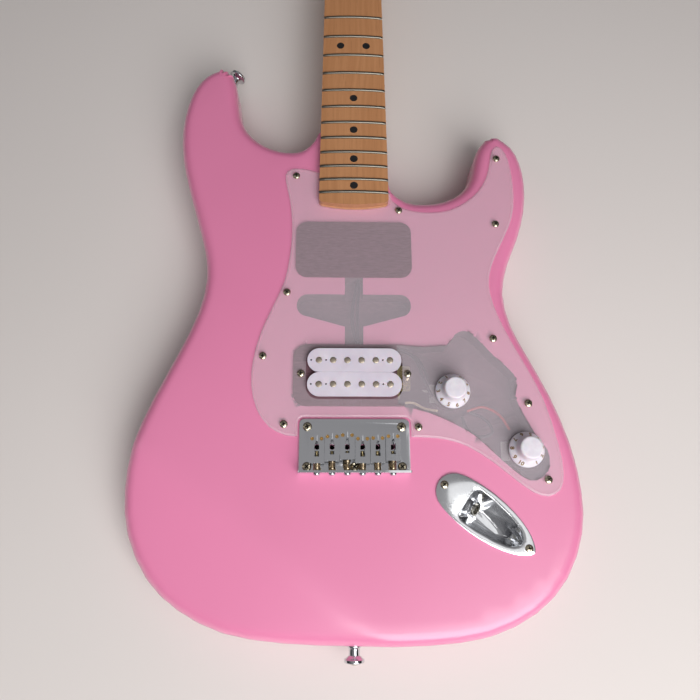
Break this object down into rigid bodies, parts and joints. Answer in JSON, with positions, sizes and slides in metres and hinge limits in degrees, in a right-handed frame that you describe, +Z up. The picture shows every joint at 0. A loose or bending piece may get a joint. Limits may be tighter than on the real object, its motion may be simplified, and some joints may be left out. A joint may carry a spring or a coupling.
{
  "type": "electric guitar",
  "caption": "Solid-body double-cutaway electric guitar with a bolt-on neck, one open-coil pickup, a fixed bridge, two rotary controls and a recessed jack.",
  "frame": {"origin": "on the flat back of the body, on the centre line, under the saddle line of the bridge", "axes": "+Z is up out of the playing face, +Y runs up the neck to the headstock, +X is the treble side"},
  "size_m": [0.3325, 0.9841, 0.0632],
  "materials": {
    "pink_lacquer": "solid wood under polished pink lacquer",
    "frosted_guard": "frosted translucent acrylic sheet with a bevelled edge",
    "nickel_screw": "nickel-plated steel",
    "chrome": "polished chrome plate",
    "maple": "satin-lacquered maple",
    "nickel_silver": "polished nickel silver",
    "black_dot": "black plastic inlay",
    "nut_plastic": "moulded white synthetic bone",
    "black_steel": "blackened steel",
    "spring_steel": "drawn spring wire",
    "white_bobbin": "moulded white ABS",
    "pole_steel": "turned steel slug",
    "nickel_silver_sheet": "stamped sheet",
    "magnet_ceramic": "ground ferrite magnet",
    "coil_tape": "copper winding under black cloth tape",
    "braided_cable": "braided shield cable",
    "white_knob": "moulded white ABS with printed numerals",
    "pot_can": "zinc-plated steel can",
    "capacitor_case": "dipped film capacitor",
    "jack_nickel": "nickel-plated brass",
    "wire_sleeve": "PVC-sleeved hook-up wire"
  },
  "bodies": {
    "instrument": {"body": "pink_lacquer", "pickguard": "frosted_guard", "plate_screws": "nickel_screw", "body_screws": "nickel_screw", "string_ferrules": "chrome", "neck": "maple", "fretboard": "maple", "frets": "nickel_silver", "position_dots": "black_dot", "nut": "nut_plastic", "truss_rod": "black_steel", "neck_plate": "chrome", "neck_plate_screws": "nickel_screw", "string_trees": "chrome", "headstock_screws": "nickel_screw", "tuner_housings": "chrome", "tuner_bushings": "chrome", "bridge_plate": "chrome", "intonation_springs": "spring_steel", "pickup_height_screws": "nickel_screw", "pickup_springs": "spring_steel", "pickup_cable": "braided_cable", "control_pots": "pot_can", "panel_nuts": "chrome", "tone_capacitor": "capacitor_case", "jack_cup": "chrome", "output_jack": "jack_nickel", "strap_buttons": "chrome", "hookup_wires": "wire_sleeve"},
    "volume_control": {"volume_knob": "white_knob"},
    "tone_control": {"tone_knob": "white_knob"},
    "pickup": {"pickup_bobbins": "white_bobbin", "pickup_poles": "pole_steel", "pickup_baseplate": "nickel_silver_sheet", "pickup_magnet": "magnet_ceramic", "pickup_coils": "coil_tape"},
    "tuner_post_1": {"tuner_post_1": "chrome"},
    "tuner_button_1": {"tuner_button_1": "chrome"},
    "tuner_post_2": {"tuner_post_2": "chrome"},
    "tuner_button_2": {"tuner_button_2": "chrome"},
    "tuner_post_3": {"tuner_post_3": "chrome"},
    "tuner_button_3": {"tuner_button_3": "chrome"},
    "tuner_post_4": {"tuner_post_4": "chrome"},
    "tuner_button_4": {"tuner_button_4": "chrome"},
    "tuner_post_5": {"tuner_post_5": "chrome"},
    "tuner_button_5": {"tuner_button_5": "chrome"},
    "tuner_post_6": {"tuner_post_6": "chrome"},
    "tuner_button_6": {"tuner_button_6": "chrome"},
    "saddle_1": {"saddle_1": "chrome"},
    "intonation_screw_1": {"intonation_screw_1": "nickel_screw"},
    "saddle_2": {"saddle_2": "chrome"},
    "intonation_screw_2": {"intonation_screw_2": "nickel_screw"},
    "saddle_3": {"saddle_3": "chrome"},
    "intonation_screw_3": {"intonation_screw_3": "nickel_screw"},
    "saddle_4": {"saddle_4": "chrome"},
    "intonation_screw_4": {"intonation_screw_4": "nickel_screw"},
    "saddle_5": {"saddle_5": "chrome"},
    "intonation_screw_5": {"intonation_screw_5": "nickel_screw"},
    "saddle_6": {"saddle_6": "chrome"},
    "intonation_screw_6": {"intonation_screw_6": "nickel_screw"}
  },
  "joints": [
    {"name": "volume_turn", "type": "hinge", "parent": "instrument", "child": "volume_control", "pos_m": [0.0726, 0.0315, 0.05], "axis": [0, 0, 1], "range_deg": [-120, 180]},
    {"name": "tone_turn", "type": "hinge", "parent": "instrument", "child": "tone_control", "pos_m": [0.1241, -0.0114, 0.05], "axis": [0, 0, 1], "range_deg": [-150, 150]},
    {"name": "pickup_height", "type": "slide", "parent": "instrument", "child": "pickup", "axis": [0, 0, 1], "range_m": [-0.002, 0.0015], "deforming": ["pickup_springs", "pickup_cable"]},
    {"name": "tuner_button_1_turn", "type": "hinge", "parent": "instrument", "child": "tuner_button_1", "pos_m": [-0.02178, 0.67473, 0.0251], "axis": [-0.9668, 0.2554, 0], "continuous": true},
    {"name": "tuner_post_1_turn", "type": "hinge", "parent": "instrument", "child": "tuner_post_1", "pos_m": [-0.0196, 0.683, 0.0302], "axis": [0, 0, 1], "continuous": true},
    {"name": "tuner_button_2_turn", "type": "hinge", "parent": "instrument", "child": "tuner_button_2", "pos_m": [-0.0154, 0.6989, 0.0251], "axis": [-0.9668, 0.2554, 0], "continuous": true},
    {"name": "tuner_post_2_turn", "type": "hinge", "parent": "instrument", "child": "tuner_post_2", "pos_m": [-0.01321, 0.70717, 0.0302], "axis": [0, 0, 1], "continuous": true},
    {"name": "tuner_button_3_turn", "type": "hinge", "parent": "instrument", "child": "tuner_button_3", "pos_m": [-0.00901, 0.72308, 0.0251], "axis": [-0.9668, 0.2554, 0], "continuous": true},
    {"name": "tuner_post_3_turn", "type": "hinge", "parent": "instrument", "child": "tuner_post_3", "pos_m": [-0.00683, 0.73134, 0.0302], "axis": [0, 0, 1], "continuous": true},
    {"name": "tuner_button_4_turn", "type": "hinge", "parent": "instrument", "child": "tuner_button_4", "pos_m": [-0.00263, 0.74725, 0.0251], "axis": [-0.9668, 0.2554, 0], "continuous": true},
    {"name": "tuner_post_4_turn", "type": "hinge", "parent": "instrument", "child": "tuner_post_4", "pos_m": [-0.00044, 0.75551, 0.0302], "axis": [0, 0, 1], "continuous": true},
    {"name": "tuner_button_5_turn", "type": "hinge", "parent": "instrument", "child": "tuner_button_5", "pos_m": [0.00376, 0.77142, 0.0251], "axis": [-0.9668, 0.2554, 0], "continuous": true},
    {"name": "tuner_post_5_turn", "type": "hinge", "parent": "instrument", "child": "tuner_post_5", "pos_m": [0.00594, 0.77968, 0.0302], "axis": [0, 0, 1], "continuous": true},
    {"name": "tuner_button_6_turn", "type": "hinge", "parent": "instrument", "child": "tuner_button_6", "pos_m": [0.01015, 0.79559, 0.0251], "axis": [-0.9668, 0.2554, 0], "continuous": true},
    {"name": "tuner_post_6_turn", "type": "hinge", "parent": "instrument", "child": "tuner_post_6", "pos_m": [0.01233, 0.80385, 0.0302], "axis": [0, 0, 1], "continuous": true},
    {"name": "saddle_1_slide", "type": "slide", "parent": "instrument", "child": "saddle_1", "axis": [0, 1, 0], "range_m": [-0.0014, 0.0056], "deforming": ["intonation_springs"]},
    {"name": "intonation_screw_1_turn", "type": "hinge", "parent": "instrument", "child": "intonation_screw_1", "pos_m": [-0.0269, -0.0285, 0.05158], "axis": [0, 1, 0], "range_deg": [-4037, 1013]},
    {"name": "saddle_2_slide", "type": "slide", "parent": "instrument", "child": "saddle_2", "axis": [0, 1, 0], "range_m": [-0.0029, 0.0041], "deforming": ["intonation_springs"]},
    {"name": "intonation_screw_2_turn", "type": "hinge", "parent": "instrument", "child": "intonation_screw_2", "pos_m": [-0.01614, -0.0285, 0.05158], "axis": [0, 1, 0], "range_deg": [-2957, 2093]},
    {"name": "saddle_3_slide", "type": "slide", "parent": "instrument", "child": "saddle_3", "axis": [0, 1, 0], "range_m": [-0.0039, 0.0031], "deforming": ["intonation_springs"]},
    {"name": "intonation_screw_3_turn", "type": "hinge", "parent": "instrument", "child": "intonation_screw_3", "pos_m": [-0.00538, -0.0285, 0.05158], "axis": [0, 1, 0], "range_deg": [-2237, 2813]},
    {"name": "saddle_4_slide", "type": "slide", "parent": "instrument", "child": "saddle_4", "axis": [0, 1, 0], "range_m": [-0.0014, 0.0056], "deforming": ["intonation_springs"]},
    {"name": "intonation_screw_4_turn", "type": "hinge", "parent": "instrument", "child": "intonation_screw_4", "pos_m": [0.00538, -0.0285, 0.05158], "axis": [0, 1, 0], "range_deg": [-4037, 1013]},
    {"name": "saddle_5_slide", "type": "slide", "parent": "instrument", "child": "saddle_5", "axis": [0, 1, 0], "range_m": [-0.0019, 0.0051], "deforming": ["intonation_springs"]},
    {"name": "intonation_screw_5_turn", "type": "hinge", "parent": "instrument", "child": "intonation_screw_5", "pos_m": [0.01614, -0.0285, 0.05158], "axis": [0, 1, 0], "range_deg": [-3677, 1373]},
    {"name": "saddle_6_slide", "type": "slide", "parent": "instrument", "child": "saddle_6", "axis": [0, 1, 0], "range_m": [-0.0032, 0.0038], "deforming": ["intonation_springs"]},
    {"name": "intonation_screw_6_turn", "type": "hinge", "parent": "instrument", "child": "intonation_screw_6", "pos_m": [0.0269, -0.0285, 0.05158], "axis": [0, 1, 0], "range_deg": [-2741, 2309]}
  ],
  "couplings": [
    {"joint": "tuner_post_1_turn", "follows": "tuner_button_1_turn", "ratio": 0.066667},
    {"joint": "tuner_post_2_turn", "follows": "tuner_button_2_turn", "ratio": 0.066667},
    {"joint": "tuner_post_3_turn", "follows": "tuner_button_3_turn", "ratio": 0.066667},
    {"joint": "tuner_post_4_turn", "follows": "tuner_button_4_turn", "ratio": 0.066667},
    {"joint": "tuner_post_5_turn", "follows": "tuner_button_5_turn", "ratio": 0.066667},
    {"joint": "tuner_post_6_turn", "follows": "tuner_button_6_turn", "ratio": 0.066667},
    {"joint": "intonation_screw_1_turn", "follows": "saddle_1_slide", "rad_per_m": -12566},
    {"joint": "intonation_screw_2_turn", "follows": "saddle_2_slide", "rad_per_m": -12566},
    {"joint": "intonation_screw_3_turn", "follows": "saddle_3_slide", "rad_per_m": -12566},
    {"joint": "intonation_screw_4_turn", "follows": "saddle_4_slide", "rad_per_m": -12566},
    {"joint": "intonation_screw_5_turn", "follows": "saddle_5_slide", "rad_per_m": -12566},
    {"joint": "intonation_screw_6_turn", "follows": "saddle_6_slide", "rad_per_m": -12566}
  ]
}
